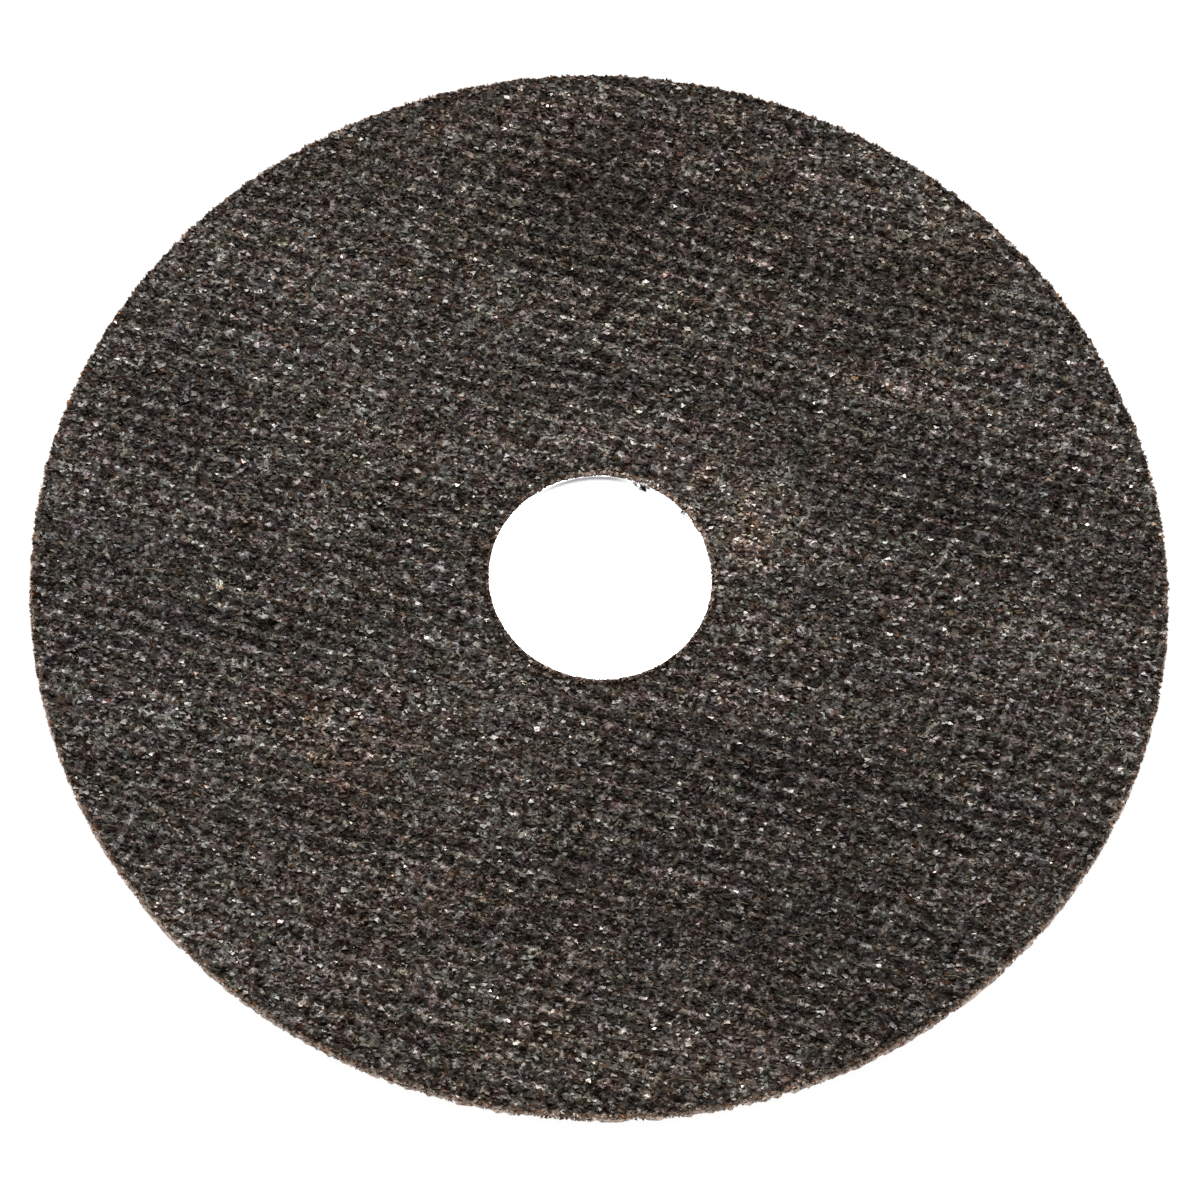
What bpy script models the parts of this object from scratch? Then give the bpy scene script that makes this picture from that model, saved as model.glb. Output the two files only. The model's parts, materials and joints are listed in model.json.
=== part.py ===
"""Flat cut off wheel with a pressed steel ring lining its arbor hole.

Lengths are in metres. The wheel lies on its underside, centred on the origin, with its axis along +Z.
"""

import math

import bpy
from mathutils import Vector

# Driving dimensions of the abrasive disc

WHEEL_DIAMETER = 0.115
WHEEL_THICKNESS = 0.0016
RIM_ROUNDING = 0.00022
BORE_ROUNDING = 0.00010

# Driving dimensions of the steel ring, a flanged eyelet pressed from thin strip

ARBOR_DIAMETER = 0.02223
RING_WALL = 0.0002
RING_BEND = 0.00015
RING_EDGE = 0.00004
FLANGE_WIDTH = 0.0042
SLEEVE_SETBACK = 0.00015

# Gap that the ring keeps to the disc all round

RING_CLEARANCE = 0.0001

# Fineness of the turned shapes

TURN_STEPS = 128
FILLET_STEPS = 2
SMOOTH_ANGLE = math.radians(50)

# Finishes, as linear colours

RESIN_BLACK = (0.052, 0.045, 0.039, 1.0)
TINNED_STEEL = (0.62, 0.62, 0.62, 1.0)


def clear_scene():
    for existing in list(bpy.data.objects):
        bpy.data.objects.remove(existing, do_unlink=True)


def make_collection(name):
    collection = bpy.data.collections.new(name)
    bpy.context.scene.collection.children.link(collection)
    return collection


def make_material(name, colour, roughness, metallic):
    material = bpy.data.materials.new(name)
    material.use_nodes = True
    shader = material.node_tree.nodes["Principled BSDF"]
    shader.inputs["Base Color"].default_value = colour
    shader.inputs["Roughness"].default_value = roughness
    shader.inputs["Metallic"].default_value = metallic
    material.diffuse_color = colour
    return material


def fillet(before, corner, after, radius):
    """Points of the arc that rounds one corner of an outline, or the corner itself."""
    if radius == 0:
        return [corner]
    to_before = (before - corner).normalized()
    to_after = (after - corner).normalized()
    half_angle = to_before.angle(to_after) / 2
    centre = corner + (to_before + to_after).normalized() * radius / math.sin(half_angle)
    reach = radius / math.tan(half_angle)
    first = (corner + to_before * reach - centre).normalized()
    last = (corner + to_after * reach - centre).normalized()
    steps = range(FILLET_STEPS + 1)
    return [centre + radius * first.slerp(last, step / FILLET_STEPS) for step in steps]


def rounded_outline(corners):
    """A closed outline of (radius, height) points, from corners given as (radius, height, rounding)."""
    places = [Vector((radius, height)) for radius, height, _ in corners]
    outline = []
    for index, (_, _, rounding) in enumerate(corners):
        before = places[index - 1]
        after = places[(index + 1) % len(places)]
        outline += fillet(before, places[index], after, rounding)
    return outline


def turn(name, corners, material, collection):
    """A closed outline turned once round the Z axis. Its corners run down the outer side, top to bottom."""
    outline = rounded_outline(corners)
    points = [(place.x, 0, place.y) for place in outline]
    edges = [(index, (index + 1) % len(points)) for index in range(len(points))]
    profile = bpy.data.meshes.new(name + "_profile")
    profile.from_pydata(points, edges, [])
    piece = bpy.data.objects.new(name, profile)
    collection.objects.link(piece)
    screw = piece.modifiers.new("turn", "SCREW")
    screw.axis = "Z"
    screw.angle = math.tau
    screw.steps = TURN_STEPS
    screw.render_steps = TURN_STEPS
    keep_turned_mesh(piece, name)
    piece.data.materials.append(material)
    return piece


def keep_turned_mesh(piece, name):
    """Replaces the profile by the mesh turned from it, smooth apart from its sharp arrises."""
    graph = bpy.context.evaluated_depsgraph_get()
    profile = piece.data
    turned = bpy.data.meshes.new_from_object(piece.evaluated_get(graph))
    turned.name = name
    piece.modifiers.clear()
    piece.data = turned
    bpy.data.meshes.remove(profile)
    turned.shade_smooth()
    turned.set_sharp_from_angle(angle=SMOOTH_ANGLE)
    flat_faces = piece.modifiers.new("flat_faces_stay_flat", "WEIGHTED_NORMAL")
    flat_faces.keep_sharp = True


def make_abrasive_disc(collection):
    """The moulded disc: a flat plate with a bore, and a shallow seat for the ring's flange underneath."""
    rim = WHEEL_DIAMETER / 2
    bore = ARBOR_DIAMETER / 2 + RING_WALL + RING_CLEARANCE
    seat = ARBOR_DIAMETER / 2 + RING_WALL + FLANGE_WIDTH + RING_CLEARANCE
    seat_depth = RING_WALL + RING_CLEARANCE
    corners = [
        (bore, WHEEL_THICKNESS, BORE_ROUNDING),
        (rim, WHEEL_THICKNESS, RIM_ROUNDING),
        (rim, 0, RIM_ROUNDING),
        (seat, 0, 0),
        (seat, seat_depth, 0),
        (bore, seat_depth, RING_BEND),
    ]
    material = make_material("resin_bonded_grit", RESIN_BLACK, roughness=0.72, metallic=0)
    return turn("abrasive_disc", corners, material, collection)


def make_arbor_ring(collection):
    """The ring: a sleeve up the bore and a flange in the seat, one wall thick, flush with the underside."""
    inside = ARBOR_DIAMETER / 2
    outside = inside + RING_WALL
    flange = outside + FLANGE_WIDTH
    top = WHEEL_THICKNESS - SLEEVE_SETBACK
    corners = [
        (inside, top, RING_EDGE),
        (outside, top, RING_EDGE),
        (outside, RING_WALL, RING_BEND),
        (flange, RING_WALL, RING_EDGE),
        (flange, 0, RING_EDGE),
        (inside, 0, RING_BEND + RING_WALL),
    ]
    material = make_material("tinned_steel", TINNED_STEEL, roughness=0.3, metallic=1)
    return turn("arbor_ring", corners, material, collection)


def main():
    clear_scene()
    collection = make_collection("cut_off_wheel")
    make_abrasive_disc(collection)
    make_arbor_ring(collection)


main()
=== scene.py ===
"""Looks of a thin cut off wheel: black grit in resin, with a tinned steel ring in its arbor hole."""

import json
import math

import bpy
import numpy as np
from mathutils import Matrix, Vector

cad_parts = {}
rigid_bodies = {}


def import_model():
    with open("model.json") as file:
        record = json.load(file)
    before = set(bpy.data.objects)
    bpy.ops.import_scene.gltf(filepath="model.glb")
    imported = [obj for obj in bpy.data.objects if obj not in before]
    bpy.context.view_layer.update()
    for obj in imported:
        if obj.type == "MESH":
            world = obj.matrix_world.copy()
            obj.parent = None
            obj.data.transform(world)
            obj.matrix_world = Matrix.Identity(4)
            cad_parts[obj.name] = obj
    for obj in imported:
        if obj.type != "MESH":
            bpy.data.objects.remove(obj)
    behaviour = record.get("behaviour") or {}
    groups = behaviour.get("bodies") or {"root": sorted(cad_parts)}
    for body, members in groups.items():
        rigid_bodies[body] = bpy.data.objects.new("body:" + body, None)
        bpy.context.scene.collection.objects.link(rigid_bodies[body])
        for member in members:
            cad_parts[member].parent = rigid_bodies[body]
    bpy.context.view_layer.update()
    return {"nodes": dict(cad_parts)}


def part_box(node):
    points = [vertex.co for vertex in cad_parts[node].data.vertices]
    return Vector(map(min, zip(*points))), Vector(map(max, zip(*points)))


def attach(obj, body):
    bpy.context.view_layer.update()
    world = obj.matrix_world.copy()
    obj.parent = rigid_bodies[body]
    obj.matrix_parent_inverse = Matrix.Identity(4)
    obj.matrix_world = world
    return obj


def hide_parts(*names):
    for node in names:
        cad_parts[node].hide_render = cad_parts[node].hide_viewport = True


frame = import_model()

# The front layer. Black grain in resin is pressed into a flat plate, with a woven mesh just under its skin.
# It carries the rim and the wall of the arbor hole, and its arrises are ragged where grains have broken away.

_, disc_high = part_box("abrasive_disc")
RIM_RADIUS = disc_high.x
FACE_HEIGHT = disc_high.z
disc_outline = {
    (round(math.hypot(*vertex.co.xy), 6), round(vertex.co.z, 6))
    for vertex in frame["nodes"]["abrasive_disc"].data.vertices
}
BORE_RADIUS = min(radius for radius, height in disc_outline)
SEAT_RADIUS = min(radius for radius, height in disc_outline if height == 0)
SEAT_HEIGHT = min(height for radius, height in disc_outline if height > 0 and radius == SEAT_RADIUS)
BACK_THICKNESS = 0.0007
GRAIN_STANDS_PROUD = 0.00020
PRESS_SPREAD = 0.00020
RIM_PRESS = 0.3
ARRIS_ROUGHNESS = 0.00012
WALL_ROUGHNESS = 0.00004
WALL_SINK = 0.00008
SCALLOP_LENGTHS = (0.0009, 0.0028)
SCALLOP_SEED = 7
SCALLOP_REACH = 0.0014
SMOOTH_FOOT = 0.0006
FOOT_SINK = 0.25
RIM_SCALLOP = 0.00011
LIP_SCALLOP = 0.00004
TURN_SIDES = 360
CAP_SLOPE = 0.9
PLATE_FACET = 0.00042
PLATE_JITTER = 0.00012
THREAD_PITCH = 0.00193
THREAD_RELIEF = 0.00010
THREAD_DRIFT = 0.0008
GRAIN_LIE = math.radians(-11.4)
GRAIN_STRETCH = 1.4
CLUMP_RELIEF = 0.00002
WAVE_COUNT = 40
CLUMP_LENGTHS = (0.0012, 0.0040)
CLUMP_SEED = 5
CLARITY_LENGTHS = (0.015, 0.040)
CLARITY_SEED = 6
TORN_MIDDLE = math.radians(48)
TORN_SPREAD = math.radians(48)
LEAST_TORN = 0.20
# The threads: which way they are spaced, how sharp their ridges are, and their share of the height.
THREAD_SETS = (
    (math.radians(78.6), 3, 0.50),
    (math.radians(-13.8), 1, 0.15),
    (math.radians(58.6), 1, 0.20),
    (math.radians(-30.2), 1, 0.20),
)


def deselect_all():
    """Deselects every object, so that the next operator acts on nothing old."""
    bpy.ops.object.select_all(action="DESELECT")


def edit(piece):
    """Opens one piece alone in edit mode, with its faces selected as they were chosen before."""
    deselect_all()
    piece.select_set(True)
    bpy.context.view_layer.objects.active = piece
    bpy.context.tool_settings.mesh_select_mode = (False, False, True)
    bpy.ops.object.mode_set(mode="EDIT")


def apply_all(piece):
    """Applies a piece's modifiers, and then its own place, turn and scale."""
    deselect_all()
    piece.select_set(True)
    bpy.context.view_layer.objects.active = piece
    for modifier in list(piece.modifiers):
        bpy.ops.object.modifier_apply(modifier=modifier.name)
    bpy.ops.object.transform_apply(location=True, rotation=True, scale=True)


def read(items, name, width):
    """One value of every vertex, face or corner, as rows of numbers."""
    found = np.empty(len(items) * width, np.float32)
    items.foreach_get(name, found)
    return found.reshape(-1, width).astype(float)


def move_vertices(piece, places):
    """Puts the vertices of a piece at rows of places."""
    piece.data.vertices.foreach_set("co", places.astype(np.float32).ravel())
    piece.data.update()


def choose_faces(piece, rule):
    """Selects, in object mode, the faces whose centres and normals meet a rule, and nothing else."""
    mesh = piece.data
    mesh.vertices.foreach_set("select", np.zeros(len(mesh.vertices), bool))
    mesh.edges.foreach_set("select", np.zeros(len(mesh.edges), bool))
    chosen = rule(read(mesh.polygons, "center", 3), read(mesh.polygons, "normal", 3))
    mesh.polygons.foreach_set("select", chosen)


def ring_plate(name, outer, inner, low, high):
    """A flat ring: a cylinder whose two caps are inset to the bore and bridged through."""
    deselect_all()
    bpy.ops.mesh.primitive_cylinder_add(
        vertices=TURN_SIDES, radius=outer, depth=high - low, location=(0, 0, (low + high) / 2)
    )
    plate = bpy.context.object
    plate.name = name
    plate.data.name = name
    choose_faces(plate, lambda centres, normals: np.abs(normals[:, 2]) > CAP_SLOPE)
    edit(plate)
    bpy.ops.mesh.inset(thickness=outer - inner)
    bpy.ops.mesh.bridge_edge_loops()
    bpy.ops.object.mode_set(mode="OBJECT")
    apply_all(plate)
    return plate


def weave_height(places):
    """How high the woven threads under the skin lift it, from 0 to 1, at rows of places."""
    height = np.zeros(len(places))
    for turn, sharpness, share in THREAD_SETS:
        across = places[:, 0] * math.cos(turn) + places[:, 1] * math.sin(turn)
        height += share * (0.5 + 0.5 * np.cos(across * math.tau / THREAD_PITCH)) ** sharpness
    return height


def sum_of_waves(places, lengths, seed):
    """A wandering height, about -1 to 1, at rows of places, with waves between two lengths across."""
    chance = np.random.default_rng(seed)
    height = np.zeros(len(places))
    for _ in range(WAVE_COUNT):
        turn = chance.random() * math.tau
        length = chance.uniform(*lengths)
        across = places[:, 0] * math.cos(turn) + places[:, 1] * math.sin(turn)
        height += np.cos(across * math.tau / length + chance.random() * math.tau)
    return height / math.sqrt(WAVE_COUNT)


def weave_lift(places):
    """How far the threads and the clumps of grain lift the skin, in metres, at rows of places."""
    clumps = sum_of_waves(places, CLUMP_LENGTHS, CLUMP_SEED)
    return THREAD_RELIEF * weave_height(places) + CLUMP_RELIEF * clumps


def above_foot(places):
    """0 at the rim's foot, which is smooth as it came from the mould, and 1 above it."""
    return (places[:, 2] / SMOOTH_FOOT).clip(0, 1)


def draw_in_edges(places):
    """Draws the rim in and the bore's lip out, unevenly, as where grains have broken away."""
    radius = np.hypot(places[:, 0], places[:, 1])
    depth = 1 + sum_of_waves(places + places[:, 2:], SCALLOP_LENGTHS, SCALLOP_SEED).clip(-1, 1)
    at_rim = (1 - (RIM_RADIUS - radius) / SCALLOP_REACH).clip(0, 1) * above_foot(places)
    at_lip = (1 - (radius - BORE_RADIUS) / SCALLOP_REACH).clip(0, 1) * (places[:, 2] > FACE_HEIGHT / 2)
    places[:, :2] *= (1 + depth * (LIP_SCALLOP * at_lip - RIM_SCALLOP * at_rim) / radius)[:, None]


def press_relief(plate, facet, face, outward, seed):
    """Presses grain and mesh into one face of a plate, and makes its edges ragged, always inwards."""
    places = read(plate.data.vertices, "co", 3)
    chance = np.random.default_rng(seed)
    count = len(places)
    radius = np.hypot(places[:, 0], places[:, 1])
    turn = np.arctan2(places[:, 1], places[:, 0])
    at_rim = radius > RIM_RADIUS - PLATE_FACET / 2
    depth = (GRAIN_STANDS_PROUD + PRESS_SPREAD * chance.random(count)) * np.where(at_rim, RIM_PRESS, 1)
    on_face = np.abs(places[:, 2] - face) < facet / 2
    places[:, 2] -= outward * on_face * (depth - weave_lift(places))
    near_arris = places[:, 2] > FACE_HEIGHT - PLATE_FACET
    rough = chance.random(count) * np.where(near_arris, ARRIS_ROUGHNESS, WALL_ROUGHNESS)
    at_bore = radius < BORE_RADIUS + PLATE_FACET / 2
    torn = BORE_RADIUS + rough * torn_share(places)
    rim = RIM_RADIUS - (WALL_SINK + rough) * (FOOT_SINK + (1 - FOOT_SINK) * above_foot(places))
    radius = np.where(at_rim, rim, np.where(at_bore, torn, radius))
    places[:, 0] = radius * np.cos(turn)
    places[:, 1] = radius * np.sin(turn)
    draw_in_edges(places)
    places[:, 2] = places[:, 2].clip(0, FACE_HEIGHT)
    move_vertices(plate, places)


def grit_plate(name, facet, outer, inner, low, high, outward, seed):
    """A ring plate remeshed to facets of a grain's size, jittered, and pressed on its outer face."""
    plate = ring_plate(name, outer, inner, low, high)
    remesh = plate.modifiers.new("facets", "REMESH")
    remesh.mode = "VOXEL"
    remesh.voxel_size = facet
    apply_all(plate)
    face, hidden = (high, low) if outward > 0 else (low, high)
    choose_faces(plate, lambda centres, normals: np.abs(centres[:, 2] - hidden) < facet / 4)
    edit(plate)
    bpy.ops.mesh.delete(type="FACE")
    bpy.ops.mesh.select_all(action="SELECT")
    bpy.ops.transform.vertex_random(offset=PLATE_JITTER, seed=seed)
    bpy.ops.mesh.quads_convert_to_tris(quad_method="SHORTEST_DIAGONAL")
    bpy.ops.mesh.region_to_loop()
    bpy.ops.mesh.bridge_edge_loops()
    bpy.ops.object.mode_set(mode="OBJECT")
    press_relief(plate, facet, face, outward, seed)
    return plate


def new_node(tree, kind, **sockets):
    """Adds a node and sets or links its inputs, which are named with _ for a space."""
    node = tree.nodes.new(kind)
    for name, value in sockets.items():
        feed(tree, node.inputs[name.replace("_", " ")], value)
    return node


def feed(tree, socket, value):
    """Links another node's output to a socket, or sets the socket to a constant."""
    if isinstance(value, bpy.types.NodeSocket):
        tree.links.new(value, socket)
    else:
        socket.default_value = value


def calculate(tree, operation, *values):
    """A Math node on outputs or constants."""
    node = tree.nodes.new("ShaderNodeMath")
    node.operation = operation
    for socket, value in zip(node.inputs, values):
        feed(tree, socket, value)
    return node.outputs[0]


def fade(tree, value, start, end):
    """0 at start and 1 at end, smooth between."""
    node = new_node(tree, "ShaderNodeMapRange", Value=value, From_Min=start, From_Max=end)
    node.interpolation_type = "SMOOTHSTEP"
    return node.outputs["Result"]


def mix_colours(tree, kind, share, first, second):
    """A Mix node on two colours. Its colour inputs are numbers 6 and 7, and its colour output number 2."""
    node = tree.nodes.new("ShaderNodeMix")
    node.data_type = "RGBA"
    node.blend_type = kind
    for socket, value in ((0, share), (6, first), (7, second)):
        feed(tree, node.inputs[socket], value)
    return node.outputs[2]


def blend_colours(tree, share, first, second):
    """The first colour, with a share of the second over it."""
    return mix_colours(tree, "MIX", share, first, second)


def multiply(tree, first, second):
    """Two colours multiplied, or a colour and a number."""
    return mix_colours(tree, "MULTIPLY", 1, first, second)


def new_material(name):
    """A new material: itself, its nodes, its shader, and the places on a piece that its patterns read."""
    material = bpy.data.materials.new(name)
    material.use_nodes = True
    tree = material.node_tree
    place = tree.nodes.new("ShaderNodeTexCoord").outputs["Object"]
    return material, tree, tree.nodes["Principled BSDF"], place


def noise(tree, place, per_metre, detail=2):
    """A soft random value, about 0.5, with so many waves in a metre."""
    node = new_node(tree, "ShaderNodeTexNoise", Vector=place, Scale=per_metre, Detail=detail)
    return node.outputs["Fac"]


GRAIN_METALLIC = 0.7
LIP_BRIGHTNESS = 0.55
RAGGED_PER_METRE = 1300
RAGGED_REACH = 0.0009
RIM_WEAR_START = 0.0003
RIM_WEAR_END = 0.00015
LIP_WEAR = 0.0004
WEAR_COVER = 0.85
FLOOR_LIT_WALL_DEPTHS = (0.00040, 0.00095)
# How deep below the faces the colour turns to black resin: the resin's own colour, and painted shade in
# recesses.
DEPTH_SHADE_DEPTHS = (0.00042, 0.00010)
RESIN_BLACK_AND_DEPTH_SHADE = (0.0150, 0.0072, 0.0027, 1)
WORN_DARK = (0.060, 0.036, 0.024, 1)
WORN_LIGHT = (0.46, 0.36, 0.29, 1)
WORN_RUST = (0.36, 0.17, 0.08, 1)
# The paler colours low on the rim's wall, painted light from the white floor.
FLOOR_LIT_WALL_DARK = (0.34, 0.26, 0.21, 1)
FLOOR_LIT_WALL_LIGHT = (0.84, 0.71, 0.62, 1)
WORN_LIGHT_POWER = 2.2
RUST_SHARE = 0.90
CRYSTAL_DARK = (0.0292, 0.0150, 0.0064, 1)
CRYSTAL_LIGHT = (0.288, 0.280, 0.263, 1)
# Each tint of the crystals, by the share of them that comes before it.
CRYSTAL_TINTS = {
    0.00: (1.03, 0.94, 0.88, 1),
    0.30: (0.92, 0.96, 0.90, 1),
    0.46: (1.15, 0.90, 0.82, 1),
    0.62: (0.83, 0.98, 1.06, 1),
    0.76: (0.92, 1.01, 0.75, 1),
    0.84: (1.06, 0.87, 0.98, 1),
    0.95: (1.20, 0.83, 0.62, 1),
}
PLAIN_TINT = (0.98, 0.975, 0.985, 1)
LIGHT_PLAINNESS = 0.90
PLAINNESS_POWER = 0.6
MOTTLES_PER_METRE = 420
MOTTLE_STRENGTH = 0.85
DRIFTS_PER_METRE = 120
# The face is lighter over the threads' ridges and darker between them: partly the weave's tone, partly
# painted light and shade on its relief.
WEAVE_TONE_AND_RIDGE_LIGHT = 1.95
WEAVE_MEAN = 0.4
CLUMP_SHADE = 0.85
CLUMPS_PER_METRE = 520
STREAK_SHADE = 1.4
STREAKS_PER_METRE = 210
STREAK_SHARE = 0.14
DARKEST_SHADE = 0.15
SPOT_LEVELS = (0.35, 0.70)
SPOT_STRENGTHS = (0.4, 1.6)
SKIN_BUMPS_PER_METRE = 3000
SKIN_BUMP = 0.00006
CELLS_PER_METRE = 2400
CLARITY_MEAN = 0.75
WALL_REACH = 0.0006
LEAST_FACING = 0.5
MAP_SHARE = 0.89
STRIP_SHARE = 0.98
STRIP_HEIGHT = 0.030
RIM_STRIP = 0.002
BORE_STRIP = 0.036
HIDDEN_STRIP = 0.070
SQUARE_MARGIN = 0.15
LEAST_WIDTH = 1e-9
MILLIMETRE = 0.001
# Lighter and darker patches of the face's tone. The sheen patches by the hole are painted sheen, a highlight
# put into the colour.
TONE_AND_SHEEN_PATCHES = {
    "sheen right of the hole": (14.0, 6.5, 4.5, 6, 1.10),
    "sheen above the hole": (4.0, 13.5, 12, 3.5, 0.50),
    "sheen beside the hole": (16.0, -4.0, 5, 4, 0.40),
    "top right": (36, 43, 12, 5, 0.26),
    "streak above the right": (37, 22, 20, 3.0, 0.40),
    "streak at the right edge": (46, -3, 14, 2.2, 0.28),
    "lower streak at the right edge": (50, -12, 11, 2.5, 0.32),
    "streak under the hole": (18, -12, 9, 2.0, 0.28),
    "near edge": (4, -53, 20, 5, 0.26),
    "near left edge": (-38, -41, 16, 5, 0.46),
    "left half": (-30, -12, 26, 14, 0.10),
    "long streak at the left": (-33, -20, 22, 3.0, 0.24),
    "short streak at the left": (-40, -4, 12, 2.0, 0.20),
    "upper left": (-31, 26, 9, 8, 0.22),
    "left of the hole": (-29, 5, 7, 5, 0.20),
    "left edge": (-54, 14, 6, 12, 0.25),
    "far dark": (-2, 43, 9, 7, -0.38),
    "far dark, right part": (14, 36, 22, 9, -0.28),
    "dark under the top right": (28, 32, 9, 5, -0.22),
    "dark behind the right": (34, 12, 15, 5, -0.34),
    "dark at the right": (25, -1, 7, 5, -0.22),
    "dark in front of the right": (22, -24, 17, 15, -0.26),
    "dark near right edge": (33, -30, 12, 10, -0.06),
    "dark far left": (-43, 16, 11, 7, -0.18),
    "dark streak at the left": (-36, -8, 16, 2.2, -0.20),
    "dark near": (4, -36, 22, 6, -0.14),
}
RUST_PATCHES = {
    "near the left": (-25, -21, 6, 6, 0.36),
    "beside the hole": (13, 5, 3.5, 6, 0.16),
    "behind the hole": (9, 13, 5, 4, 0.18),
    "streak under the hole": (14, -12.5, 16, 2.5, 0.16),
    "streak above the right": (30, 23, 14, 3, 0.03),
    "far edge": (0, 47, 34, 10, 0.22),
    "near right edge": (28, -50, 16, 4, 0.20),
    "near edge": (-4, -34, 26, 14, 0.12),
}
OLIVE_PATCHES = {
    "top right": (32, 38, 6, 5, 0.45),
    "far edge": (9, 53, 4, 4, 0.35),
    "near edge": (0, -52, 16, 6, 0.24),
    "beside the hole": (13, 8, 7, 8, 0.18),
    "left of the middle": (-28, 12, 10, 6, 0.25),
    "near the left": (-24, -22, 10, 8, 0.15),
    "far middle": (0, 35, 22, 9, 0.25),
}
SLATE_PATCHES = {
    "left edge": (-48, 4, 16, 34, 0.35),
    "right edge": (44, 22, 10, 16, 0.20),
}
RUST_CAST = (1.22, 0.90, 0.80, 1)
OLIVE_CAST = (1.04, 1.02, 0.78, 1)
SLATE_CAST = (0.94, 0.98, 1.08, 1)


def patch_share(places, patches):
    """The sum, at rows of places, of soft patches drawn along the grain's lie.

    A patch is its centre's X and Y, its half length and half width, in millimetres, and its strength.
    """
    share = np.zeros(len(places))
    for x, y, half_length, half_width, strength in patches.values():
        offset = places[:, :2] / MILLIMETRE - (x, y)
        along = offset[:, 0] * math.cos(GRAIN_LIE) + offset[:, 1] * math.sin(GRAIN_LIE)
        across = offset[:, 1] * math.cos(GRAIN_LIE) - offset[:, 0] * math.sin(GRAIN_LIE)
        away = np.hypot(along / half_length, across / half_width)
        share += strength * np.exp(-away**2)
    return share


def torn_share(places):
    """How torn the bore's lip is: 1 at the back right, little elsewhere."""
    turn = np.arctan2(places[:, 1], places[:, 0])
    away = (turn - TORN_MIDDLE + math.pi) % math.tau - math.pi
    return LEAST_TORN + (1 - LEAST_TORN) * np.exp(-((away / TORN_SPREAD) ** 2))


def store(piece, name, values):
    """Keeps three numbers for every vertex, which the materials read."""
    layer = piece.data.attributes.new(name, "FLOAT_VECTOR", "POINT")
    layer.data.foreach_set("vector", values.astype(np.float32).ravel())


def stain(piece):
    """Stores the faces' uneven tone, with painted sheen by the hole: light, rust and olive, then slate, torn
    lip and clear weave.
    """
    places = read(piece.data.vertices, "co", 3)
    tone = (TONE_AND_SHEEN_PATCHES, RUST_PATCHES, OLIVE_PATCHES)
    store(piece, "tone", np.stack([patch_share(places, patches) for patches in tone], 1))
    waves = sum_of_waves(places, CLARITY_LENGTHS, CLARITY_SEED)
    clarity = (CLARITY_MEAN + (1 - CLARITY_MEAN) * waves).clip(0, 1)
    cast = (patch_share(places, SLATE_PATCHES), torn_share(places), clarity)
    store(piece, "cast", np.stack(cast, 1))


def stored(tree, name):
    """The three numbers that a piece stores for every vertex or grain."""
    found = tree.nodes.new("ShaderNodeAttribute")
    found.attribute_name = name
    return new_node(tree, "ShaderNodeSeparateXYZ", Vector=found.outputs["Vector"]).outputs


def edge_share(tree, place, torn):
    """How far a place is in the worn band of the rim or lip, how bright its wear is, and the rim's part."""
    flat = new_node(tree, "ShaderNodeVectorMath", Vector=place)
    flat.operation = "MULTIPLY"
    flat.inputs[1].default_value = (1, 1, 0)
    length = new_node(tree, "ShaderNodeVectorMath", Vector=flat.outputs[0])
    length.operation = "LENGTH"
    ragged = noise(tree, place, RAGGED_PER_METRE)
    outward = calculate(tree, "MULTIPLY_ADD", ragged, RAGGED_REACH, length.outputs["Value"])
    rim = fade(tree, outward, RIM_RADIUS - RIM_WEAR_START, RIM_RADIUS + RIM_WEAR_END)
    inward = calculate(tree, "MULTIPLY_ADD", ragged, -RAGGED_REACH, length.outputs["Value"])
    bore = fade(tree, inward, BORE_RADIUS + LIP_WEAR, BORE_RADIUS - LIP_WEAR)
    bright = calculate(tree, "MULTIPLY", calculate(tree, "MULTIPLY", bore, torn), LIP_BRIGHTNESS)
    bright = calculate(tree, "MAXIMUM", rim, bright)
    return calculate(tree, "MAXIMUM", rim, bore), bright, rim


def weave_shade(tree, place):
    """The height of the woven threads as nodes, slightly wavy, from 0 to 1."""
    drift = new_node(tree, "ShaderNodeTexNoise", Vector=place, Scale=DRIFTS_PER_METRE, Detail=1)
    centred = new_node(tree, "ShaderNodeVectorMath", Vector=drift.outputs["Color"])
    centred.operation = "SUBTRACT"
    centred.inputs[1].default_value = (0.5, 0.5, 0.5)
    wavy = tree.nodes.new("ShaderNodeVectorMath")
    wavy.operation = "MULTIPLY_ADD"
    feed(tree, wavy.inputs[0], centred.outputs[0])
    wavy.inputs[1].default_value = (THREAD_DRIFT,) * 3
    feed(tree, wavy.inputs[2], place)
    height = 0.0
    for turn, sharpness, share in THREAD_SETS:
        across = new_node(tree, "ShaderNodeVectorMath", Vector=wavy.outputs[0])
        across.operation = "DOT_PRODUCT"
        across.inputs[1].default_value = (math.cos(turn), math.sin(turn), 0)
        phase = calculate(tree, "MULTIPLY", across.outputs["Value"], math.tau / THREAD_PITCH)
        wave = calculate(tree, "MULTIPLY_ADD", calculate(tree, "COSINE", phase), 0.5, 0.5)
        ridge = calculate(tree, "POWER", wave, sharpness)
        height = calculate(tree, "MULTIPLY_ADD", ridge, share, height)
    return height


def tint_ramp(tree, value):
    """One of the crystals' tints."""
    node = new_node(tree, "ShaderNodeValToRGB", Fac=value)
    ramp = node.color_ramp
    ramp.interpolation = "CONSTANT"
    while len(ramp.elements) < len(CRYSTAL_TINTS):
        ramp.elements.new(0.5)
    for element, (start, tint) in zip(ramp.elements, CRYSTAL_TINTS.items()):
        element.position = start
        element.color = tint
    return node.outputs["Color"]


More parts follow.
